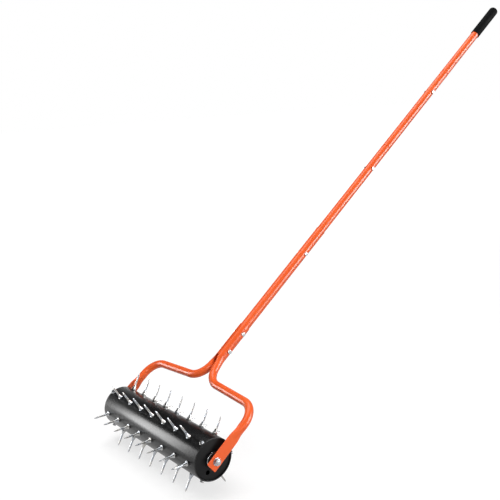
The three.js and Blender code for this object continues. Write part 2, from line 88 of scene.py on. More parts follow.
def shifted(along=0, across=0, up=0):
    return Matrix.Translation((along, across, up))


def round_axle(turn):
    return Matrix.Rotation(turn, 4, "X")


print("axle at", [round(value, 4) for value in axle_centre])

# %% [markdown]
# ## The camera
# The camera comes first, because it decides how much detail each piece needs. It stands at the
# drum's right front, a little above it, and looks up along the leaning handle. Its place is given
# from the axle's middle, in millimetres, and its turn by the directions of its right and its top.

# %% Camera
EYE = Vector((1615.2, -901.3, 839.8))
EYE_RIGHT = Vector((0.6112, 0.7894, -0.0582)).normalized()
EYE_UP = Vector((-0.1235, 0.1677, 0.9781)).normalized()
LENS = 54
SENSOR = 36

camera_data = bpy.data.cameras.new("camera")
camera_data.lens = LENS
camera_data.sensor_width = SENSOR
camera = bpy.data.objects.new("camera", camera_data)
bpy.context.scene.collection.objects.link(camera)
eye_back = EYE_RIGHT.cross(EYE_UP)
turned_to = Matrix((EYE_RIGHT, EYE_UP, eye_back)).transposed().to_4x4()
camera.matrix_world = Matrix.Translation(axle_centre + EYE * MM) @ turned_to
bpy.context.scene.camera = camera
bpy.context.scene.view_settings.view_transform = "Standard"
print("camera", round((EYE * MM).length, 2), "m from the axle")

# %% [markdown]
# ## Hands
# An operator acts on all that is selected, so every step starts from nothing selected. These few
# helpers take one piece, open it for editing and pick its parts by place, as a person would do with
# the mouse.

# %% Take and pick
def clear_selection():
    bpy.ops.object.select_all(action="DESELECT")


def take(piece):
    clear_selection()
    piece.select_set(True)
    bpy.context.view_layer.objects.active = piece


def open_edit(piece):
    take(piece)
    bpy.ops.object.mode_set(mode="EDIT")


def close_edit():
    bpy.ops.object.mode_set(mode="OBJECT")


def pick(kind, test):
    """Select the vertices or edges of the open piece that pass the test."""
    bpy.ops.mesh.select_mode(type=kind)
    bpy.ops.mesh.select_all(action="DESELECT")
    data = bpy.context.edit_object.data
    mesh = bmesh.from_edit_mesh(data)
    for part in mesh.verts if kind == "VERT" else mesh.edges:
        if test(part):
            part.select_set(True)
    mesh.select_flush_mode()
    bmesh.update_edit_mesh(data)


def face_outwards():
    bpy.ops.mesh.select_all(action="SELECT")
    bpy.ops.mesh.normals_make_consistent(inside=False)


def named(name):
    piece = bpy.context.object
    piece.name = piece.data.name = name
    return piece


# %% [markdown]
# Most pieces of this tool are round, as they come from a lathe, a tube mill or a spinning press. A
# spin round an axis would do, but a ring that is extruded and scaled from one step of the profile
# to the next keeps even quads and exact radii. A profile that comes back to its start is welded
# into a closed ring, and any other one gets its two ends filled.

# %% Turn a profile
WELD = 0.01


def open_circle(name, sides, radius, place):
    """A circle of points round its place, left open with all of them selected."""
    clear_selection()
    bpy.ops.mesh.primitive_circle_add(vertices=sides, radius=radius)
    circle = named(name)
    bpy.ops.object.mode_set(mode="EDIT")
    bpy.ops.mesh.select_all(action="SELECT")
    bpy.ops.transform.translate(value=place)
    return circle


def turned(name, profile, sides=48):
    """A piece turned round Z from a list of (radius, height) steps."""
    radius, height = profile[0]
    piece = open_circle(name, sides, radius, (0, 0, height))
    for next_radius, next_height in profile[1:]:
        rise = {"value": (0, 0, next_height - height)}
        bpy.ops.mesh.extrude_region_move(TRANSFORM_OT_translate=rise)
        scale = next_radius / radius
        centre = (0, 0, next_height)
        bpy.ops.transform.resize(value=(scale, scale, 1), center_override=centre)
        radius, height = next_radius, next_height
    bpy.ops.mesh.select_all(action="SELECT")
    if profile[0] == profile[-1]:
        bpy.ops.mesh.remove_doubles(threshold=WELD)
    else:
        bpy.ops.mesh.fill_holes(sides=0)
    face_outwards()
    close_edit()
    return piece


def rounded(radius, height, size, start, end, steps=4):
    """Profile steps round an arc, whose angles run from straight out (0) to straight up (90)."""
    angles = [math.radians(start + (end - start) * step / steps) for step in range(steps + 1)]
    return [(radius + size * math.cos(a), height + size * math.sin(a)) for a in angles]


# %% [markdown]
# Edges are never knife sharp: sheet is tumbled, bars are chamfered and paint rounds them further. A
# Bevel modifier on all edges sharper than an angle does that at once. Holes and slots are cut with
# the Boolean modifier, and both modifiers are applied, so that the mesh itself holds the shape.

# %% Soften and cut
def softened(piece, width, angle=30):
    take(piece)
    bevel = piece.modifiers.new("soft edges", "BEVEL")
    bevel.width = width
    bevel.segments = 2
    bevel.limit_method = "ANGLE"
    bevel.angle_limit = math.radians(angle)
    bpy.ops.object.modifier_apply(modifier=bevel.name)
    return piece


def combined(piece, other, operation):
    take(piece)
    boolean = piece.modifiers.new("cut", "BOOLEAN")
    boolean.object = other
    boolean.operation = operation
    boolean.solver = "EXACT"
    bpy.ops.object.modifier_apply(modifier=boolean.name)
    bpy.data.objects.remove(other)
    return piece


# %% [markdown]
# What repeats is modelled once and duplicated, each copy with its own mesh. A move is put into the
# mesh at once, so that the finished piece's object stays at the origin. A mirrored mesh is inside
# out, so its faces are turned outwards again.

# %% Copy, move and join
def copied(piece, name):
    take(piece)
    bpy.ops.object.duplicate(linked=False)
    return named(name)


def moved(piece, matrix):
    """Move a piece and put the move into its mesh."""
    take(piece)
    piece.matrix_world = matrix
    bpy.ops.object.transform_apply(location=True, rotation=True, scale=True)
    if matrix.determinant() < 0:
        open_edit(piece)
        face_outwards()
        close_edit()
    return piece


def joined(name, pieces):
    clear_selection()
    for piece in pieces:
        piece.select_set(True)
    bpy.context.view_layer.objects.active = pieces[0]
    if len(pieces) > 1:
        bpy.ops.object.join()
    return named(name)


# %% [markdown]
# Bars, drills and rings come up again and again, so each has a helper that makes it in its place.
# Each hole gets a drill of its own, and all the drills of a piece cut it together.

# %% Blocks, cylinders, drills and rings
def block(name, size, place):
    """A block of a size along X, Y and Z, set in its place."""
    clear_selection()
    bpy.ops.mesh.primitive_cube_add(size=1)
    return moved(named(name), place @ Matrix.Diagonal((*size, 1)))


def cylinder(name, sides, radius, depth, place):
    """A cylinder along Z, set in its place."""
    clear_selection()
    bpy.ops.mesh.primitive_cylinder_add(vertices=sides, radius=radius, depth=depth)
    return moved(named(name), place)


def drilled(piece, drills):
    return combined(piece, joined("drills", drills), "DIFFERENCE")


def axle_ring(name, outline, sides=64):
    """A ring on the axle's line, turned from the closed outline of its section."""
    return moved(turned(name, outline + outline[:1], sides), along_axle)


# %% [markdown]
# ## Finishes
# Shader maths reads best as a formula. A small class wraps a node's output and turns +, - and *
# into Math nodes, so that 1 - mask works too. Three more methods fade a field in between two
# values, and take a vector's length or one of its parts.

# %% Field
class Field:
    """A node's output that can be used in a formula."""

    def __init__(self, finish, socket):
        self.finish = finish
        self.socket = socket

    def __add__(self, other):
        return self.finish.maths("ADD", self, other)

    def __radd__(self, other):
        return self.finish.maths("ADD", other, self)

    def __sub__(self, other):
        return self.finish.maths("SUBTRACT", self, other)

    def __rsub__(self, other):
        return self.finish.maths("SUBTRACT", other, self)

    def __mul__(self, other):
        return self.finish.maths("MULTIPLY", self, other)

    def __rmul__(self, other):
        return self.finish.maths("MULTIPLY", other, self)

    def clamped(self, low, high):
        inputs = {0: self, 1: low, 2: high}
        return self.finish.node("MapRange", inputs, clamp=True, interpolation_type="SMOOTHSTEP")

    def length(self):
        return self.finish.node("VectorMath", {0: self}, "Value", operation="LENGTH")

    def along(self, axis):
        return self.finish.node("SeparateXYZ", {0: self}, axis)


# %% [markdown]
# A finish is one material. Every node that it adds comes from one method, which takes the node's
# type, its inputs and its settings. Every pattern is taken from the object coordinates, so it stays
# with its piece. What is the same all over a surface is set on the shader's own socket.

# %% Finish
class Finish:
    """A material whose values and links are written as formulas."""

    def __init__(self, name):
        self.material = bpy.data.materials.new(name)
        self.material.use_nodes = True
        self.tree = self.material.node_tree
        self.shader = self.tree.nodes["Principled BSDF"]
        self.place = self.node("TexCoord", output="Object")

    def node(self, kind, inputs=None, output=0, **settings):
        made = self.tree.nodes.new("ShaderNode" + kind)
        for name, value in settings.items():
            setattr(made, name, value)
        for name, value in (inputs or {}).items():
            self.give(made.inputs[name], value)
        return Field(self, made.outputs[output])

    def give(self, socket, value):
        if isinstance(value, Field):
            self.tree.links.new(value.socket, socket)
        else:
            socket.default_value = value

    def set(self, **values):
        """Give the shader's sockets numbers, colours or fields, named with underscores."""
        for name, value in values.items():
            self.give(self.shader.inputs[name.replace("_", " ")], value)

    def maths(self, operation, *terms):
        return self.node("Math", dict(enumerate(terms)), operation=operation)

    def noise(self, scale, detail=2.0, roughness=0.5):
        inputs = {"Vector": self.place, "Scale": scale, "Detail": detail, "Roughness": roughness}
        return self.node("TexNoise", inputs)

    def mixed(self, share, first, second):
        inputs = {0: share, 6: first, 7: second}
        return self.node("Mix", inputs, output=2, data_type="RGBA", clamp_factor=True)

    def bump(self, height, distance, strength):
        return self.node("Bump", {"Height": height, "Distance": distance, "Strength": strength})

    def ray(self, kind):
        """One for rays of this kind, and zero for all others."""
        return self.node("LightPath", output=f"Is {kind} Ray")

    def tool_marks(self, closeness, on_shafts=True):
        """Fine rings round the axle's line, in steps away from it, and along it on shafts."""
        shift = [-value for value in axle_centre]
        local = self.node("Mapping", {"Vector": self.place, "Location": shift})
        reach = self.node("VectorMath", {0: local, 1: (0, 1, 1)}, operation="MULTIPLY").length()
        if on_shafts:
            reach = reach + local.along("X")
        return self.maths("SINE", reach * closeness)


finishes = {}

# %% [markdown]
# ### Orange powder coat
# Powder coat is baked plastic: a strong even colour, glossy on top, with a very fine orange peel.
# Where the film is thinner or thicker the colour drifts a little. Wide noise drives that drift and
# the gloss, and fine noise makes the peel as a bump.

# %% Orange powder coat
coat = finishes["orange_paint"] = Finish("orange powder coat")
drift = coat.noise(9.0, detail=3.0)
film = coat.noise(55.0)
peel = coat.noise(520.0, detail=1.5)
fine_peel = coat.noise(1700.0, detail=1.0)
deep_orange = (0.83, 0.104, 0.018, 1)
light_orange = (0.91, 0.135, 0.026, 1)
coat.set(
    Base_Color=coat.mixed(drift.clamped(0.3, 0.7) * 0.7 + film * 0.3, deep_orange, light_orange),
    Roughness=film * 0.08 + drift * 0.05 + 0.19,
    Specular_IOR_Level=0.32,
    Normal=coat.bump(peel * 0.7 + fine_peel * 0.3, distance=0.00009, strength=0.2),
)
print("orange powder coat:", len(coat.tree.nodes), "nodes")

# %% [markdown]
# ### Satin black paint
# The drum is sprayed satin black. Satin scatters the light into a broad streak, so it is a little
# rougher than the orange. A faint haze of dust in the film lifts the black in patches, and the
# sprayed surface is a little coarser than powder coat.

# %% Satin black paint
black = finishes["black_paint"] = Finish("satin black paint")
haze = black.noise(6.0, detail=4.0, roughness=0.6)
spray = black.noise(900.0)
ripple = black.noise(120.0)
deep_black = (0.0022, 0.0022, 0.0025, 1)
dusty_black = (0.0045, 0.0045, 0.0048, 1)
black.set(
    Base_Color=black.mixed(haze.clamped(0.35, 0.75), deep_black, dusty_black),
    Roughness=haze * 0.08 + spray * 0.06 + 0.205,
    Specular_IOR_Level=0.36,
    Normal=black.bump(spray * 0.5 + ripple * 0.5, distance=0.00008, strength=0.45),
)
print("satin black paint:", len(black.tree.nodes), "nodes")

# %% [markdown]
# ### Dull black paint
# The end caps have the same two blacks in a duller spray, which mirrors less and scatters more.

# %% Dull black paint
dull = finishes["dull_black"] = Finish("dull black paint")
sprayed = dull.noise(900.0)
settled = dull.noise(14.0, detail=3.0)
dull.set(
    Base_Color=dull.mixed(settled.clamped(0.35, 0.75), deep_black, dusty_black),
    Roughness=settled * 0.1 + sprayed * 0.08 + 0.3,
    Specular_IOR_Level=0.16,
    Normal=dull.bump(sprayed, distance=0.00008, strength=0.4),
)
print("dull black paint:", len(dull.tree.nodes), "nodes")

# %% [markdown]
# ### Bright zinc
# Spikes, screws, bolts and nuts are zinc plated and passivated. The plating is bright with a faint
# blue and yellow cast that changes from place to place. On the spikes fine turning rings lie across
# the shaft. All the spikes point away from the axle, so rings of equal distance from it do that.

# %% Bright zinc
zinc = finishes["bright_zinc"] = Finish("bright zinc plating")
cast = zinc.noise(70.0, detail=3.0)
cloud = zinc.noise(260.0, detail=3.0, roughness=0.6)
rings = zinc.tool_marks(closeness=9000.0, on_shafts=False)
blue_zinc = (0.39, 0.41, 0.44, 1)
warm_zinc = (0.46, 0.45, 0.43, 1)
zinc.set(
    Base_Color=zinc.mixed(cast.clamped(0.38, 0.62), blue_zinc, warm_zinc),
    Metallic=1.0,
    Roughness=cloud * 0.12 + 0.2,
    Normal=zinc.bump(rings * 0.35 + cloud, distance=0.00003, strength=0.2),
)
print("bright zinc plating:", len(zinc.tree.nodes), "nodes")

# %% [markdown]
# ### Steels
# The bearing rings are ground, which leaves rings round the axle on their faces. The axle is turned
# from bar and only oiled, so it is duller and carries a coarser feed mark. The spacers are
# blackened in hot oil, which darkens them in soft patches.

# %% Bearing steel, plain steel and blackened steel
ground = finishes["bearing_steel"] = Finish("ground bearing steel")
grind = ground.tool_marks(closeness=14000.0)
smudge = ground.noise(180.0, detail=3.0)
clean_steel = (0.62, 0.63, 0.65, 1)
smudged_steel = (0.52, 0.53, 0.54, 1)
ground.set(
    Base_Color=ground.mixed(smudge.clamped(0.3, 0.75), clean_steel, smudged_steel),
    Metallic=1.0,
    Roughness=smudge * 0.15 + 0.14,
    Normal=ground.bump(grind, distance=0.000012, strength=0.35),
)

bar = finishes["plain_steel"] = Finish("turned plain steel")
feed = bar.tool_marks(closeness=11000.0)
oil = bar.noise(60.0, detail=4.0, roughness=0.6)
dry_bar = (0.44, 0.44, 0.45, 1)
oiled_bar = (0.30, 0.295, 0.29, 1)
bar.set(
    Base_Color=bar.mixed(oil.clamped(0.35, 0.7), dry_bar, oiled_bar),
    Metallic=1.0,
    Roughness=oil * 0.2 + 0.24,
    Normal=bar.bump(feed, distance=0.00003, strength=0.5),
)

blackened = finishes["blackened"] = Finish("blackened steel")
scale_patches = blackened.noise(60.0, detail=4.0, roughness=0.6)
thin_scale = (0.06, 0.06, 0.062, 1)
thick_scale = (0.035, 0.034, 0.033, 1)
blackened.set(
    Base_Color=blackened.mixed(scale_patches, thin_scale, thick_scale),
    Metallic=1.0,
    Roughness=scale_patches * 0.2 + 0.26,
)
print("steels:", [len(steel.tree.nodes) for steel in (ground, bar, blackened)], "nodes")

# %% [markdown]
# ### Rubber
# The bearing shield is thin moulded rubber with a faint bloom. The hand grip is a foamed rubber
# sleeve, dead matte, with a fine leathery grain, and it is slightly polished in broad patches.

# %% Rubber
shield = finishes["shield_rubber"] = Finish("shield rubber")
bloom = shield.noise(300.0, detail=3.0)
black_rubber = (0.011, 0.011, 0.012, 1)
bloomed_rubber = (0.024, 0.024, 0.025, 1)
shield.set(
    Base_Color=shield.mixed(bloom, black_rubber, bloomed_rubber),
    Roughness=bloom * 0.2 + 0.45,
    Normal=shield.bump(bloom, distance=0.00004, strength=0.5),
)

sleeve = finishes["grip_rubber"] = Finish("grip rubber")
handling = sleeve.noise(22.0, detail=3.0)
cell_inputs = {"Vector": sleeve.place, "Scale": 620.0}
cells = sleeve.node("TexVoronoi", cell_inputs, "Distance", feature="F1")
grain = sleeve.noise(1500.0)
fresh_sleeve = (0.004, 0.0042, 0.0045, 1)
handled_sleeve = (0.008, 0.0083, 0.0086, 1)
sleeve.set(
    Base_Color=sleeve.mixed(handling, fresh_sleeve, handled_sleeve),
    Specular_IOR_Level=0.03,
    Roughness=0.62 - handling.clamped(0.4, 0.7) * 0.14 + grain * 0.1,
    Normal=sleeve.bump(cells * 0.7 + grain * 0.3, distance=0.00025, strength=0.6),
)
print("finishes:", sorted(finishes))

# %% [markdown]
# ## Setting a piece down
# The last step is the same for every piece. It goes to its place, its faces are shaded smooth
# except over real edges, it gets its finish, and it rides on its body in place of its CAD node. A
# piece that needs a finish of its own, within its slot's material, names it.

# %% Set down
SMOOTH_UNDER = math.radians(32)

pieces_made = []


def dressed(piece, finish):
    piece.data.materials.clear()
    piece.data.materials.append(finish.material)


def set_down(piece, place, body, slot, *nodes, finish=None):
    moved(piece, place)
    take(piece)
    bpy.ops.object.shade_smooth_by_angle(angle=SMOOTH_UNDER)
    dressed(piece, finishes[finish or slot])
    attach(piece, body)
    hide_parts(*nodes)
    pieces_made.append(piece)


def pair(piece, name, place, body, slot, node, finish=None):
    """Set down a piece built for the +X side, and its mirror image on the -X side."""
    mirror_image = copied(piece, name + "_left")
    piece.name = piece.data.name = name + "_right"
    set_down(piece, place, body, slot, "right_" + node, finish=finish)
    set_down(mirror_image, other_side @ place, body, slot, "left_" + node, finish=finish)


# %% [markdown]
# ## The drum
# The drum is a plain tube, 457 mm long and 108 mm across, with a 2.5 mm wall. Its two ends are
# deburred, so each rim gets a small round. Six rows of holes take the spikes, eight and seven in
# turn, and three more at each end take the cap screws.

# %% Drum tube
DRUM_HALF = 228.5
DRUM_RADIUS = 54
DRUM_BORE = 51.5
RIM = 0.7
ROWS = 6
SPIKE_PITCH = 57.1
SPIKE_HOLE = 3.35
CAP_SCREW_HOLE = 2.9
CAP_SCREW_PLACE = 221
CAP_SCREW_TURNS = [math.radians(degrees) for degrees in (26, 146, 266)]
DRILL_DEPTH = 10
DRILL_SIDES = 16


def row_turn(row):
    return (row + 0.5) * math.tau / ROWS


def spike_places(row):
    count = 8 if row % 2 else 7
    return [(index - (count - 1) / 2) * SPIKE_PITCH for index in range(count)]


end = DRUM_HALF - RIM
tube_steps = rounded(DRUM_BORE + RIM, -end, RIM, 180, 270, 3)
tube_steps += rounded(DRUM_RADIUS - RIM, -end, RIM, 270, 360, 3)
tube_steps += rounded(DRUM_RADIUS - RIM, end, RIM, 0, 90, 3)
tube_steps += rounded(DRUM_BORE + RIM, end, RIM, 90, 180, 3)
drum_tube = axle_ring("drum_tube", tube_steps, sides=144)

holes = [(SPIKE_HOLE, place, row_turn(row)) for row in range(ROWS) for place in spike_places(row)]
for side in (-1, 1):
    holes += [(CAP_SCREW_HOLE, side * CAP_SCREW_PLACE, turn) for turn in CAP_SCREW_TURNS]
drills = []
for radius, place, turn in holes:
    stand = shifted(along=place) @ round_axle(turn) @ shifted(up=DRUM_RADIUS - 1)
    drills.append(cylinder("drill", DRILL_SIDES, radius, DRILL_DEPTH, stand))
drilled(drum_tube, drills)
set_down(drum_tube, at_axle, "roller", "black_paint", "drum_shell")
print("drum tube with", len(holes), "holes,", len(drum_tube.data.polygons), "faces")

# %% [markdown]
# ## The end caps
# Each cap is pressed from sheet into a shallow cup that stands 3 mm inside the drum's rim. Its
# outer edge is well rounded, as pressed sheet is, and its middle is drawn out into a hub that
# stands 6 mm proud and holds the bearing. The profile goes once round the cut sheet. The round
# opening near the rim is cut after it.

# %% End caps
CAP_FACE, CAP_BACK, SKIRT_END = 225.5, 223.5, 211.5
CAP_RADIUS, SKIRT_MIDDLE, SKIRT_BORE = 51.2, 50, 48.7
HUB_FACE, HUB_SEAT, HUB_BACK = 231.5, 220.2, 218.2
HUB_LIP, HUB_BORE, HUB_RIM, HUB_RADIUS = 16.3, 20.3, 22.5, 23.8
CAP_EDGE, FOLD, HUB_CHAMFER, BREAK = 1.6, 0.8, 0.7, 0.3
OPENING_RADIUS, OPENING_SIDES, OPENING_DEPTH = 5.9, 40, 20
OPENING_PLACE = 33
OPENING_TURN = math.radians(150)

cap_steps = [(HUB_BORE, HUB_SEAT), (HUB_BORE, HUB_FACE - 0.4), (HUB_BORE + 0.4, HUB_FACE)]
cap_steps += rounded(HUB_RIM - FOLD, HUB_FACE - FOLD, FOLD, 90, 0, 4)
cap_steps += rounded(HUB_RIM + 1, CAP_FACE + 1, 1, 180, 270, 4)
cap_steps += rounded(CAP_RADIUS - CAP_EDGE, CAP_FACE - CAP_EDGE, CAP_EDGE, 90, 0, 5)
cap_steps += [(CAP_RADIUS, SKIRT_END + BREAK), (CAP_RADIUS - BREAK, SKIRT_END)]
cap_steps += [(SKIRT_BORE + BREAK, SKIRT_END), (SKIRT_BORE, SKIRT_END + BREAK)]
cap_steps += rounded(SKIRT_BORE - FOLD, CAP_BACK - FOLD, FOLD, 0, 90, 3)
cap_steps += [(HUB_RADIUS, CAP_BACK), (HUB_RADIUS, HUB_BACK + HUB_CHAMFER)]
cap_steps += [(HUB_RADIUS - HUB_CHAMFER, HUB_BACK), (HUB_LIP + BREAK, HUB_BACK)]
cap_steps += [(HUB_LIP, HUB_BACK + BREAK), (HUB_LIP, HUB_SEAT - BREAK), (HUB_LIP + BREAK, HUB_SEAT)]
end_cap = axle_ring("end_cap_piece", cap_steps, sides=96)

stand = round_axle(OPENING_TURN) @ shifted(along=CAP_FACE, up=OPENING_PLACE) @ along_axle
drills = [cylinder("drill", OPENING_SIDES, OPENING_RADIUS, OPENING_DEPTH, stand)]
for turn in CAP_SCREW_TURNS:
    stand = round_axle(turn) @ shifted(along=CAP_SCREW_PLACE, up=SKIRT_MIDDLE)
    drills.append(cylinder("drill", DRILL_SIDES, CAP_SCREW_HOLE, DRILL_DEPTH, stand))
drilled(end_cap, drills)
pair(end_cap, "pressed_cap", at_axle, "roller", "black_paint", "end_cap", finish="dull_black")
print("end caps", len(end_cap.data.polygons), "faces each")

# %% [markdown]
# ## The bearings
# A standard ball bearing sits in each hub. Its outer ring turns with the drum, its inner ring stays
# with the axle, and a dark rubber shield closes the space between them. A ring's outer corner is
# rounded, its face is recessed behind a narrow lip, and it has a round groove for the balls. The
# balls and their cage stay the CAD's own, hidden behind the shield, and only get their finish.

# %% Bearings
BEARING_BACK, BEARING_FACE = 220.5, 232.5
BEARING_MIDDLE = (BEARING_BACK + BEARING_FACE) / 2
OUTER_WALL, OUTER_RACE = 20, 16.8
INNER_WALL, INNER_RACE = 8.5, 11.7
BALL_ORBIT = 14.25
GROOVE = 3.4
RING_CORNER, RING_ROUND = 0.6, 0.9
LIP, LIP_DEPTH, LIP_EDGE = 1.3, 1.2, 0.2


def bearing_ring(name, wall, race):
    """A ring from the wall it is seated with to the race that faces the balls."""
    outward = 1 if race > wall else -1
    corner = RING_CORNER * outward
    half_groove = math.sqrt(GROOVE**2 - (race - BALL_ORBIT) ** 2)
    steps = [(wall, BEARING_BACK + RING_CORNER), (wall + corner, BEARING_BACK)]
    steps += [(race - corner / 2, BEARING_BACK), (race, BEARING_BACK + RING_CORNER / 2)]
    for step in range(-3, 4):
        reach = half_groove * step / 3
        deep = BALL_ORBIT - outward * math.sqrt(GROOVE**2 - reach**2)
        steps.append((deep, BEARING_MIDDLE + reach))
    lip = wall + outward * LIP
    recess = BEARING_FACE - LIP_DEPTH
    steps += [(race, recess), (lip, recess), (lip, BEARING_FACE - LIP_EDGE)]
    steps.append((lip - outward * LIP_EDGE, BEARING_FACE))
    for degrees in (90, 68, 45, 22, 0):
        angle = math.radians(degrees)
        inset = outward * RING_ROUND * (1 - math.cos(angle))
        steps.append((wall + inset, BEARING_FACE - RING_ROUND * (1 - math.sin(angle))))
    return axle_ring(name, steps)


outer_ring = bearing_ring("outer_ring", OUTER_WALL, OUTER_RACE)
pair(outer_ring, "outer_race", at_axle, "roller", "bearing_steel", "bearing_outer_ring")
inner_ring = bearing_ring("inner_ring", INNER_WALL, INNER_RACE)
pair(inner_ring, "inner_race", at_axle, "frame", "bearing_steel", "bearing_inner_ring")
for side in ("left", "right"):
    dressed(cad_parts[side + "_bearing_ball_cage"], finishes["bearing_steel"])
print("bearing rings", len(outer_ring.data.polygons), "faces each")

# %% [markdown]
# The shield is one moulded disc. Its face has a raised band along each edge and a shallow channel
# between them, and its back carries a stiffer ring.

# %% Bearing shields
face, edge, channel, back = 232.0, 231.8, 231.75, 231.4

shield_steps = [(10.1, back), (10.1, edge), (10.4, face), (12.6, face), (13.2, channel)]
shield_steps += [(15.6, channel), (16.2, face), (18.2, face), (18.5, edge), (18.5, back)]
shield_steps += [(16.5, back), (16.5, 230.9), (12, 230.95), (12, back)]
shield_disc = axle_ring("shield_disc", shield_steps)
pair(shield_disc, "dust_shield", at_axle, "roller", "shield_rubber", "bearing_shield")
print("shields", len(shield_disc.data.polygons), "faces each")

# %% [markdown]
# ## Hexagons
# Every head and nut here starts as a hexagon bar whose ends are turned, which leaves the curved
# chamfers on its corners. So a six-sided cylinder is cut with a turned barrel: what both share is
# the hexagon with true chamfers. The barrel is turned by half a side, so that its edges miss the
# hexagon's corners. A small bevel then breaks the edges.

# %% Hexagon blank
CHAMFER_SLOPE = math.tan(math.radians(30))
END_FACE = 0.94
BARREL_SIDES = 60
BARREL_ROOM = 0.3
BARREL_OVER = 0.01


def hexagon(name, flats, foot, top, chamfered_foot=False):
    """A hexagon blank round Z between two heights."""
    corner = flats / math.sqrt(3)
    height = top - foot
    blank = cylinder(name, 6, corner, height, shifted(up=foot + height / 2))
    reach = corner + BARREL_ROOM
    face = flats / 2 * END_FACE
    slope = (reach - face) * CHAMFER_SLOPE
    steps = [(reach, foot - 1)]
    if chamfered_foot:
        steps = [(face, foot - BARREL_OVER), (reach, foot + slope)]
    steps += [(reach, top - slope), (face, top + BARREL_OVER)]
    barrel = turned("barrel", steps, sides=BARREL_SIDES)
    half_side = Matrix.Rotation(math.pi / BARREL_SIDES, 4, "Z")
    combined(blank, moved(barrel, half_side), "INTERSECT")
    return softened(blank, width=0.2, angle=25)


# %% [markdown]
# ## The spikes
# A spike is turned from steel: a threaded shank, a hexagon collar for the wrench, a cone that runs
# into the shaft, and a short blunt point. It is modelled once, from its shank outwards.

# %% One spike
SEAT = 54.3
COLLAR_FLATS = 12
COLLAR_TOP = 58.8
CONE_TOP = 67.8
TIP = 100.4

spike_steps = [(2.3, 47.7), (2.85, 48.3), (2.85, 53.6), (2.6, 53.9), (2.6, SEAT - 0.1)]
spike_steps += [(5.4, SEAT), (5.9, SEAT + 0.5), (5.9, COLLAR_TOP - 0.4), (5.75, COLLAR_TOP)]
spike_steps += [(5.2, COLLAR_TOP + 0.2), (4.75, 60.4), (4.2, 62.4), (3.7, 64.4), (3.2, 66.4)]
spike_steps += [(2.7, CONE_TOP), (2.6, 70), (2.5, 76), (2.36, 83), (2.2, 89.5), (2.1, TIP - 6)]
spike_steps += [(2.0, TIP - 5.5), (1.6, TIP - 3.8), (1.1, TIP - 1.8), (0.75, TIP - 0.6)]
spike_steps += [(0.5, TIP - 0.12), (0.15, TIP)]
spike = turned("spike", spike_steps, sides=24)
combined(spike, hexagon("collar", COLLAR_FLATS, SEAT, COLLAR_TOP), "UNION")
print("one spike:", len(spike.data.polygons), "faces")

# %% [markdown]
# The rows hold seven or eight spikes, screwed through the drum into a tapped bar. So each kind of
# row is made once, bar and all, and copied to its three places round the drum.

# %% Rows of spikes
BAR_WIDTH = 16
BAR_THICK = 3.5
BAR_OVERHANG = 9
BAR_GAP = 0.3
TAP_RADIUS, TAP_DEPTH = 2.95, 12
bar_top = math.sqrt((DRUM_BORE - BAR_GAP) ** 2 - (BAR_WIDTH / 2) ** 2)


def tapped_bar(places):
    """The bar inside the drum, with a hole at each spike."""
    size = (places[-1] - places[0] + 2 * BAR_OVERHANG, BAR_WIDTH, BAR_THICK)
    tapped = softened(block("tapped_bar", size, shifted(up=bar_top - BAR_THICK / 2)), width=0.5)
    taps = []
    for place in places:
        stand = shifted(along=place, up=bar_top)
        taps.append(cylinder("tap", DRILL_SIDES, TAP_RADIUS, TAP_DEPTH, stand))
    return drilled(tapped, taps)


row_patterns = []
for row in (0, 1):
    members = [tapped_bar(spike_places(row))]
    for place in spike_places(row):
        members.append(moved(copied(spike, "spike_copy"), shifted(along=place)))
    row_patterns.append(joined("spike_row_pattern", members))

for row in range(ROWS):
    spikes = copied(row_patterns[row % 2], f"spikes_{row + 1}")
    place = at_axle @ round_axle(row_turn(row))
    set_down(spikes, place, "roller", "bright_zinc", f"spike_row_{row + 1}")
for pattern in row_patterns + [spike]:
    bpy.data.objects.remove(pattern)
print(ROWS, "rows,", sum(len(spike_places(row)) for row in range(ROWS)), "spikes")

# %% [markdown]
# ## The cap screws
# Three hexagon flange screws go through the drum into each cap's skirt. The flange is part of the
# head, a thin dished disc, and the head has a cross recess for a driver. The recess is cut with two
# crossed blades that taper towards their foot.

# %% Cap screws
SCREW_TOP = 59.5
SCREW_FLATS = 9
RECESS_LONG = 5.2
RECESS_WIDE = 1.1
RECESS_DEEP = 2.2
RECESS_TAPER = (0.45, 0.7, 1)

screw_steps = [(1.6, 42.3), (2.2, 43.2), (2.4, 44.5), (2.4, 53.9), (5.6, SEAT)]
screw_steps += [(6.1, SEAT + 0.1), (6.2, SEAT + 0.45), (6.0, SEAT + 0.8), (5.1, 55.5)]
screw_steps += [(4.3, 55.7), (4.2, 56.2), (3.6, 56.4)]
cap_screw = turned("cap_screw", screw_steps, sides=32)
combined(cap_screw, hexagon("screw_head", SCREW_FLATS, SEAT + 0.4, SCREW_TOP), "UNION")
for degrees in (45, 135):
    blade = block("blade", (RECESS_LONG, RECESS_WIDE, 2 * RECESS_DEEP), shifted())
    open_edit(blade)
    pick("VERT", lambda vertex: vertex.co.z < 0)
    bpy.ops.transform.resize(value=RECESS_TAPER, center_override=(0, 0, -RECESS_DEEP))
    close_edit()
    stand = shifted(up=SCREW_TOP) @ Matrix.Rotation(math.radians(degrees), 4, "Z")
    combined(cap_screw, moved(blade, stand), "DIFFERENCE")

for side, name in ((-1, "left"), (1, "right")):
    for index, turn in enumerate(CAP_SCREW_TURNS):
        screw = copied(cap_screw, f"flange_screw_{name}_{index + 1}")
        stand = at_axle @ round_axle(turn) @ shifted(along=side * CAP_SCREW_PLACE)
        set_down(screw, stand, "roller", "bright_zinc", f"{name}_cap_screw_{index + 1}")
bpy.data.objects.remove(cap_screw)
print("cap screws at", [round(math.degrees(turn)) for turn in CAP_SCREW_TURNS], "degrees")

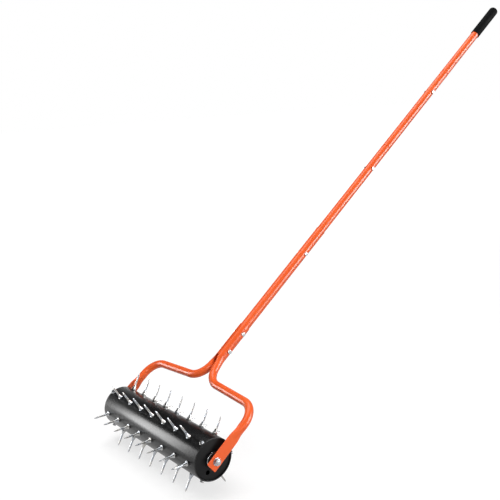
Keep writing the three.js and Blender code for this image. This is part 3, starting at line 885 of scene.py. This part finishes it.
# %% [markdown]
# ## The axle
# The axle is one bar with a shoulder behind each bearing, a journal in its inner ring and a
# threaded stud at each end. At this size a row of round grooves looks the same as a helix, and it
# stays a clean closed surface, so each turn of the thread is one ridge of the turned profile. One
# half is drawn from the middle outwards, and the other half is its mirror image.

# %% Axle
BAR_RADIUS, JOURNAL, STUD_RADIUS = 11, 8.2, 4.9
SHOULDER, STUD_FROM, STUD_END = 220.2, 234, 250.9
STUD_PITCH, STUD_RIDGES = 1.5, 11


def ridges(radius, start, count, pitch, depth=0.45, rise=0.45):
    """Profile steps of a thread, whose depth and rise are shares of its pitch."""
    steps = []
    for index in range(count):
        root = start + (index + 0.5) * pitch
        steps += [(radius - pitch * depth, root), (radius, root + pitch * rise)]
    return steps


half_axle = [(BAR_RADIUS, 0), (BAR_RADIUS, SHOULDER - 0.5), (BAR_RADIUS - 0.5, SHOULDER)]
half_axle += [(JOURNAL, SHOULDER), (JOURNAL, BEARING_FACE - 0.4), (JOURNAL - 0.4, BEARING_FACE)]
half_axle += [(STUD_RADIUS, BEARING_FACE), (STUD_RADIUS, STUD_FROM)]
half_axle += ridges(STUD_RADIUS, STUD_FROM, STUD_RIDGES, STUD_PITCH, rise=0.42)
half_axle += [(STUD_RADIUS - 0.45 * STUD_PITCH, STUD_END - 0.2), (3.6, STUD_END)]
axle_steps = [(radius, -height) for radius, height in reversed(half_axle)] + half_axle[1:]
axle_bar = moved(turned("axle_bar", axle_steps), along_axle)
set_down(axle_bar, on_tool, "frame", "plain_steel", "axle")
print("axle", round(2 * STUD_END, 1), "mm long")

# %% [markdown]
# ## What is clamped on the axle
# A spacer, the fork's arm, a washer and a hexagon nut follow on each stud. The spacer is a turned
# sleeve, the washer is stamped, so that its outer face is rounded, and the nut is a hexagon with
# both faces chamfered and a lead-in at both ends of its threaded bore.

# %% Spacers, washers and axle nuts
SPACER_FOOT, SPACER_TOP = 232.8, 239.6
WASHER_FOOT, WASHER_TOP = 242.4, 244
NUT_LEAD = 0.6


def hexagon_nut(name, flats, bore, foot, top, pitch):
    """A nut round Z between two heights."""
    blank = hexagon(name, flats, foot, top, chamfered_foot=True)
    tap = [(bore + 0.9, foot - 0.5), (bore + 0.5, foot + 0.1), (bore, foot + NUT_LEAD)]
    count = int((top - foot - 2 * NUT_LEAD) / pitch)
    tap += ridges(bore, foot + NUT_LEAD, count, pitch, depth=-0.3, rise=0.4)
    tap += [(bore, top - NUT_LEAD), (bore + 0.5, top - 0.1), (bore + 0.9, top + 0.5)]
    return combined(blank, turned("tap", tap, sides=24), "DIFFERENCE")


spacer_steps = [(5.6, SPACER_FOOT), (9.6, SPACER_FOOT), (10, SPACER_FOOT + 0.4)]
spacer_steps += [(10, SPACER_TOP - 0.4), (9.6, SPACER_TOP), (5.6, SPACER_TOP)]
spacer_steps += [(5.2, SPACER_TOP - 0.4), (5.2, SPACER_FOOT + 0.4)]
spacer = axle_ring("spacer", spacer_steps, sides=48)
pair(spacer, "spacer_sleeve", on_tool, "frame", "plain_steel", "axle_spacer", finish="blackened")

washer_steps = [(5.3, WASHER_FOOT), (9.9, WASHER_FOOT), (10, WASHER_FOOT + 0.2)]
washer_steps += [(10, WASHER_TOP - 0.5), (9.8, WASHER_TOP - 0.15), (9.4, WASHER_TOP)]
washer_steps += [(5.7, WASHER_TOP), (5.3, WASHER_TOP - 0.3)]
washer = axle_ring("washer", washer_steps)
pair(washer, "flat_washer", on_tool, "frame", "bright_zinc", "axle_washer")

nut = hexagon_nut("axle_nut_piece", flats=16, bore=5.05, foot=244.3, top=249.3, pitch=STUD_PITCH)
pair(moved(nut, along_axle), "hexagon_nut", on_tool, "frame", "bright_zinc", "axle_nut")
print("axle, spacers, washers and nuts:", len(pieces_made), "pieces so far")

# %% [markdown]
# ## The fork
# Each half of the fork is one tube. It is pressed flat at the axle, rises, bends through the
# shoulder, runs in along the leg, bends up through the neck and is pressed into a half round that
# hugs the handle. A ring of the tube's section is drawn along that path: extruded where the tube is
# straight and spun where it is bent. It gets more rings where the press changes its section.

# %% Draw the fork tube along its path
FORK_RADIUS, FORK_SIDES = 11.1, 40
ARM_LINE, ARM_END = 241.0, -20.6
FLAT_CORNER = 3
CORNER_BAND = FLAT_CORNER + 0.6
FLAT_TOP, ROUND_FROM = 62, 104
SHOULDER_BEND = Vector((189, 0, 109.06))
LEG_START = Vector((192.27, 0, 160.96))
LEG_END = Vector((62.80, 0, 169.10))
NECK_BEND = Vector((66.25, 0, 223.99))
BEND_SWEEP = math.radians(90 - 3.6)
BEND_STEPS = 26
SADDLE_FOOT, SADDLE_TOP = 247, 357


def drawn(steps, move):
    for _ in range(steps):
        bpy.ops.mesh.extrude_region_move(TRANSFORM_OT_translate={"value": move / steps})


def raised(steps, height):
    drawn(steps, Vector((0, 0, height)))


def far_end(edge):
    return edge.is_boundary and edge.verts[0].co.z > 0


def bent(centre, turning):
    pick("EDGE", far_end)
    bpy.ops.mesh.spin(steps=BEND_STEPS, angle=BEND_SWEEP, center=centre, axis=(0, turning, 0))
    pick("EDGE", far_end)


fork = open_circle("fork_half", FORK_SIDES, FORK_RADIUS, (ARM_LINE, 0, ARM_END))
raised(6, CORNER_BAND)
raised(6, FLAT_TOP - ARM_END - CORNER_BAND)
raised(14, ROUND_FROM - FLAT_TOP)
raised(2, SHOULDER_BEND.z - ROUND_FROM)
bent(SHOULDER_BEND, 1)
drawn(8, LEG_END - LEG_START)
bent(NECK_BEND, -1)
raised(8, SADDLE_FOOT - NECK_BEND.z)
raised(10, SADDLE_TOP - SADDLE_FOOT)
close_edit()
fork_top = max(vertex.co.z for vertex in fork.data.vertices)
print("fork drawn up to", round(fork_top, 1), "mm,", len(fork.data.vertices), "points")

# %% [markdown]
# The press flattens the tube at the arm and hollows it at the handle, and a pressed tube keeps its
# girth. No transform operator does that, so the points are moved by a formula: a point's share of
# the way round the section becomes its share of the way across the flat, or across the half round.
# In between, the section changes gradually, and the flat's lower corners are rounded.

# %% Press formulas
FLAT_HALF = 1.1
FLAT_REACH = math.pi * FORK_RADIUS / 2
NECK_LINE = 11.25
SADDLE_FADE = 34
SADDLE_MIDDLE, SADDLE_HALF = 14.6, 0.7
SADDLE_SWEEP = math.radians(75)
FULLNESS = 7
LEG_UNDER = 150


def eased(share):
    share = min(max(share, 0), 1)
    return share * share * (3 - 2 * share)


def section_share(outward, across):
    """A point's side, which fades to nothing at the folds, and its share of the way across."""
    share = math.atan2(across, abs(outward)) / (math.pi / 2)
    side = 1 if outward >= -0.001 else -1
    full = (1 - abs(share) ** FULLNESS) ** (1 / FULLNESS) if abs(share) < 1 else 0.0
    return side * full, share


def corner_cut(height):
    """How far the flat's sides draw in towards its end, for its rounded corners."""
    below = min(max(ARM_END + FLAT_CORNER - height, 0), FLAT_CORNER)
    return FLAT_CORNER - math.sqrt(FLAT_CORNER**2 - below**2)


# %% [markdown]
# Each point of the arm moves across and along the drum's axis. Each point from the neck up moves
# across the tube's own line, which turns through the bend. Points between them stay where they are.

# %% Press the ends of the fork tube
def press_arm(point):
    outward = point.x - ARM_LINE
    side, around = section_share(outward, point.y)
    share = eased((ROUND_FROM - point.z) / (ROUND_FROM - FLAT_TOP))
    limit = FLAT_REACH - corner_cut(point.z)
    across = min(max(FLAT_REACH * around, -limit), limit)
    point.x += (FLAT_HALF * side - outward) * share
    point.y += (across - point.y) * share


def press_saddle(point):
    from_bend = Vector((point.x - NECK_BEND.x, 0, point.z - NECK_BEND.z))
    radius = NECK_BEND.x - NECK_LINE
    if from_bend.z < 0:
        heading = from_bend.normalized()
        outward = radius - from_bend.length
        ring_height = NECK_BEND.z + heading.z * radius
    else:
        heading = Vector((-1, 0, 0))
        outward = radius + from_bend.x
        ring_height = point.z
    share = eased(1 - (SADDLE_FOOT - ring_height) / SADDLE_FADE)
    side, around = section_share(outward, point.y)
    hug = SADDLE_MIDDLE + SADDLE_HALF * side
    angle = SADDLE_SWEEP * around
    shift = (hug * math.cos(angle) - NECK_LINE - outward) * share
    point.x -= heading.x * shift
    point.z -= heading.z * shift
    point.y += (hug * math.sin(angle) - point.y) * share


for vertex in fork.data.vertices:
    if vertex.co.x > SHOULDER_BEND.x and vertex.co.z < ROUND_FROM:
        press_arm(vertex.co)
    elif vertex.co.x <= NECK_BEND.x and vertex.co.z >= LEG_UNDER:
        press_saddle(vertex.co)
arm_width = 2 * max(vertex.co.y for vertex in fork.data.vertices)
print("the arm is pressed", round(arm_width, 1), "mm wide")

# %% [markdown]
# The pressed tube's ends are filled and its edges softened. Two holes take the bolts through the
# handle, and one in the flat takes the axle's stud.

# %% Close and drill the fork tube
FORK_BOLTS = (270, 332.5)
FORK_BOLT_HOLE = 3.7
STUD_HOLE = 5.4
BORE_SIDES = 24


def bored(piece, radius, heights, reach):
    """Cut round holes along the axle's direction, at heights along the handle."""
    stands = [shifted(up=height) @ along_axle for height in heights]
    drills = [cylinder("drill", BORE_SIDES, radius, 2 * reach, stand) for stand in stands]
    return drilled(piece, drills)


open_edit(fork)
bpy.ops.mesh.select_all(action="SELECT")
bpy.ops.mesh.fill_holes(sides=0)
face_outwards()
close_edit()
softened(fork, width=0.35, angle=50)
bored(fork, FORK_BOLT_HOLE, FORK_BOLTS, reach=30)
stud_hole = moved(turned("stud_hole", [(STUD_HOLE, 230), (STUD_HOLE, 250)], sides=32), along_axle)
combined(fork, stud_hole, "DIFFERENCE")
pair(fork, "fork_tube_half", on_tool, "frame", "orange_paint", "fork_tube")
print("each half of the fork:", len(fork.data.polygons), "faces")

# %% [markdown]
# ## The handle
# Four steel tubes plug into each other. Each upper one is drawn down to a spigot that stands in the
# one below, and each lower one has a slightly flared mouth, so a thin dark line shows at each
# joint. The lowest tube is a size larger. The flare is given as steps outward and below the mouth's
# rim.

# %% The outline of a handle tube
WALL = 1.2
EDGE = 0.35
OUTER = (13.6, 12.7, 12.7, 12.7)
HANDLE_FOOT, HANDLE_TOP = 248, 1794
RIMS = (732, 1094, 1456)
FLARE = ((0, 8), (0.15, 6.5), (0.4, 5), (0.5, 4), (0.5, 0.5), (0.3, 0.1), (0, 0))
OVERLAP = 115
SPIGOT_GAP = 0.3
BOLT_BELOW_RIM = 94
JOINT_BOLTS = [rim - BOLT_BELOW_RIM for rim in RIMS]
JOINT_BOLT_HOLE = 3.4


def handle_profile(index):
    """The wall's outline from foot to top outside, and back down inside."""
    radius = OUTER[index]
    bore = radius - WALL
    if index == 0:
        outside = [(bore + EDGE, HANDLE_FOOT), (radius - EDGE, HANDLE_FOOT)]
        outside += [(radius, HANDLE_FOOT + EDGE)]
        inside = [(bore, HANDLE_FOOT + EDGE), (bore + EDGE, HANDLE_FOOT)]
    else:
        spigot = OUTER[index - 1] - WALL - SPIGOT_GAP
        rim = RIMS[index - 1]
        tail = rim - OVERLAP
        low = spigot - WALL
        outside = [(spigot - 0.8, tail), (spigot - 0.4, tail), (spigot, tail + 0.6)]
        outside += [(spigot, rim + 0.3), ((spigot + radius) / 2, rim + 0.9)]
        outside += [(radius - 0.1, rim + 2.2), (radius, rim + 3)]
        inside = [(bore, rim + 5.3), (low, rim + 0.3), (low, tail + 0.4), (spigot - 0.8, tail)]
    if index < len(RIMS):
        rim = RIMS[index]
        top = [(radius + outward, rim - below) for outward, below in FLARE]
        top += [(bore + 0.3, rim), (bore, rim - 0.3)]
    else:
        top = [(radius, HANDLE_TOP - 0.3), (radius - 0.3, HANDLE_TOP), (bore, HANDLE_TOP)]
    return outside + top + inside


# %% [markdown]
# Each tube is turned from its outline and bored where bolts go through it. The two bolts of the
# fork cross the lowest tube. The bolt of a joint crosses the tube below it and the spigot inside.

# %% Handle tubes
handle_tubes = []
for index in range(len(OUTER)):
    tube = turned(f"handle_tube_{index + 1}", handle_profile(index), sides=56)
    if index == 0:
        bored(tube, FORK_BOLT_HOLE, FORK_BOLTS, reach=20)
    bored(tube, JOINT_BOLT_HOLE, JOINT_BOLTS[max(index - 1, 0):index + 1], reach=20)
    set_down(tube, on_tool, "frame", "orange_paint", f"handle_section_{index + 1}")
    handle_tubes.append(tube)
print("handle tubes:", [len(tube.data.polygons) for tube in handle_tubes], "faces")

# %% [markdown]
# ## Bolts through the fork and the handle
# Two bolts clamp the fork to the handle and one holds each joint of the handle. Heads are on one
# side and nuts on the other. A head has a thin washer face under it and a chamfered top. Each kind
# is a shank's radius, a width over flats, and the heights of its head and its nut. Each bolt has a
# height along the handle and a seat, the distance of its head and its nut from the handle's middle.

# %% Bolts and nuts
BOLT_PITCH = 1.0
BOLT_RIDGES = 12
BOLT_END = 2.5
FORK_BOLT = (3.2, 11, 4.4, 5.6)
JOINT_BOLT = (2.9, 10, 4.0, 5.0)
FASTENERS = [
    ("lower_fork", FORK_BOLTS[0], 15.6, FORK_BOLT),
    ("upper_fork", FORK_BOLTS[1], 15.6, FORK_BOLT),
    ("handle_joint_1", JOINT_BOLTS[0], 13.9, JOINT_BOLT),
    ("handle_joint_2", JOINT_BOLTS[1], 13.0, JOINT_BOLT),
    ("handle_joint_3", JOINT_BOLTS[2], 13.0, JOINT_BOLT),
]


def bolt_profile(radius, end, seat, flats):
    """The shank from its threaded end up into the head, with the washer face."""
    steps = [(radius - 0.8, end)] + ridges(radius, end, BOLT_RIDGES, BOLT_PITCH)
    face = flats / 2 * 0.95
    return steps + [(radius, seat - 0.02), (face, seat), (face, seat + 0.5), (face - 0.4, seat + 1)]


for name, height, seat, (radius, flats, head, nut) in FASTENERS:
    steps = bolt_profile(radius, -seat - nut - BOLT_END, seat, flats)
    bolt = turned(name + "_hex_bolt", steps, sides=24)
    combined(bolt, hexagon("bolt_head", flats, seat + 0.35, seat + head), "UNION")
    lifted = on_tool @ shifted(up=height)
    set_down(bolt, lifted @ along_axle, "frame", "bright_zinc", name + "_bolt")
    blank = hexagon_nut(name + "_hex_nut", flats, radius + 0.3, seat, seat + nut, BOLT_PITCH)
    set_down(blank, lifted @ other_side @ along_axle, "frame", "bright_zinc", name + "_nut")
print(len(FASTENERS), "bolts with their nuts")

# %% [markdown]
# ## The grip
# The grip is a moulded rubber sleeve pushed over the top tube. Its end is closed and well rounded,
# its mouth is a little drawn in, and its skin is smooth apart from a fine grain.

# %% Grip
GRIP_RADIUS, GRIP_BORE = 14.9, 13.0
GRIP_FOOT, GRIP_TOP = 1663, 1801
GRIP_LIP = ((13.0, 0.5), (13.4, 0), (14.0, 0), (14.6, 0.4), (GRIP_RADIUS, 1.4))
GRIP_ROUND = 9
GRIP_BANDS = 8

grip_steps = [(radius, GRIP_FOOT + above) for radius, above in GRIP_LIP]
straight = GRIP_TOP - GRIP_ROUND - GRIP_FOOT
for band in range(1, GRIP_BANDS):
    grip_steps.append((GRIP_RADIUS, GRIP_FOOT + band * straight / GRIP_BANDS))
grip_steps += rounded(GRIP_RADIUS - GRIP_ROUND, GRIP_TOP - GRIP_ROUND, GRIP_ROUND, 0, 86, 9)
hand_sleeve = turned("hand_sleeve", grip_steps + [(1.0, GRIP_TOP)], sides=56)
bore_steps = [(GRIP_BORE, GRIP_FOOT - 2), (GRIP_BORE, HANDLE_TOP + 0.1)]
bore_steps += [(GRIP_BORE - 0.2, HANDLE_TOP + 0.3)]
combined(hand_sleeve, turned("grip_bore", bore_steps, sides=56), "DIFFERENCE")
set_down(hand_sleeve, on_tool, "frame", "grip_rubber", "hand_grip")
print("grip", len(hand_sleeve.data.polygons), "faces")

# %% [markdown]
# ## Floor and light
# The floor is a wide pale sheet. To the camera, and to what mirrors it, it adds a little glow of
# its own, so that it reads as white paper around the tool and still keeps the tool's soft shadow.
# The glow grows with the distance from the tool, where less of the lamps' light falls.

# %% Floor
FLOOR_SIZE = 60
FLOOR_GREY = 0.36

clear_selection()
bpy.ops.mesh.primitive_plane_add(size=FLOOR_SIZE)
floor = named("floor")
paper = Finish("pale floor")
far_off = paper.place.length().clamped(1.0, 5.0)
seen_glow = paper.ray("Camera") * (far_off * 0.25 + 0.66)
mirrored_glow = (paper.ray("Glossy") + paper.ray("Transmission")) * (far_off * 0.5 + 0.6)
paper.set(
    Base_Color=(FLOOR_GREY, FLOOR_GREY, FLOOR_GREY, 1),
    Roughness=0.9,
    Specular_IOR_Level=0.0,
    Emission_Color=seen_glow + mirrored_glow,
    Emission_Strength=1.0,
)
dressed(floor, paper)
floor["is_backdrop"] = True
print("pale floor:", len(paper.tree.nodes), "nodes")

# %% [markdown]
# The world is a plain studio. The camera sees white. What is mirrored sees a pale horizon and a
# dark ceiling, as in a room whose walls are lit and whose ceiling isn't. The soft light that
# reaches paint is plain and even.

# %% World
SOFT_LEVEL, HORIZON_LEVEL, CEILING_LEVEL = 0.42, 0.48, 0.05
CEILING_FROM, CEILING_TO = 0.16, 0.42

world = bpy.data.worlds.new("studio")
bpy.context.scene.world = world
world.use_nodes = True


class Studio(Finish):
    """The same formulas for the world's node tree."""

    def __init__(self, tree):
        self.tree = tree
        self.shader = tree.nodes["Background"]


studio = Studio(world.node_tree)
height = studio.node("TexCoord", output="Generated").along("Z")
ceiling = height.clamped(CEILING_FROM, CEILING_TO)
mirrored_level = HORIZON_LEVEL - ceiling * (HORIZON_LEVEL - CEILING_LEVEL)
mirroring = studio.maths("MAXIMUM", studio.ray("Glossy"), studio.ray("Transmission"))
unseen_level = mirroring * mirrored_level + (1 - mirroring) * SOFT_LEVEL
to_camera = studio.ray("Camera")
studio.set(Color=to_camera + (1 - to_camera) * unseen_level, Strength=1.0)
print("studio:", len(studio.tree.nodes), "nodes")

# %% [markdown]
# Five soft lamps shape the tool. The front box draws the broad streak along the drum, and the right
# box and the side strip give the tubes and the spikes their pale lines. These three are seen in
# gloss only. The top strip lights the tool from above, and the key box brightens the sides that
# face the camera without being mirrored.

# %% Lamps
def soft_lamp(name, place, target, size, power, in_gloss=True, in_paint=True):
    """A rectangular lamp that faces its target. It shows in gloss, on paint, or in both."""
    data = bpy.data.lights.new(name, "AREA")
    data.shape = "RECTANGLE"
    data.size, data.size_y = size
    data.energy = power
    lamp = bpy.data.objects.new(name, data)
    bpy.context.scene.collection.objects.link(lamp)
    lamp.location = place
    lamp.visible_camera = False
    lamp.visible_glossy = in_gloss
    lamp.visible_diffuse = in_paint
    lamp.rotation_euler = (Vector(place) - Vector(target)).to_track_quat("Z", "Y").to_euler()
    return lamp


soft_lamp("front box", (-4.1, -3.6, 1.25), (-4.1, 0, 1.25), (3.4, 2.44), 316, in_paint=False)
soft_lamp("right box", (3.4, -3.6, 2.3), (3.4, 0, 2.3), (2.6, 1.2), 100, in_paint=False)
strip = soft_lamp("side strip", (4.2, 3.5, 1.6), (0, 3.5, 1.6), (5.2, 3.2), 860, in_paint=False)
leaning_with_handle = Matrix(((0, 0, 1), (0.8, -0.6, 0), (0.6, 0.8, 0)))
strip.rotation_euler = leaning_with_handle.to_euler()
soft_lamp("top strip", (-0.9, -0.4, 4.1), (-0.9, -0.4, 0), (2.4, 3.8), 120)
soft_lamp("key box", (3.2, -1.0, 0.9), (0, 0, 0.2), (1.6, 1.4), 58, in_gloss=False)

# %% [markdown]
# ## The dressed size
# The dressed tool should be as large as the CAD model. Both boxes are printed side by side.

# %% Both boxes
dressed_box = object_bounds()
sizes = {"cad": [list(corner) for corner in cad_box], "dressed": [list(corner) for corner in dressed_box]}
for name, (low, high) in sizes.items():
    print(name, [round(value, 4) for value in low], [round(value, 4) for value in high])
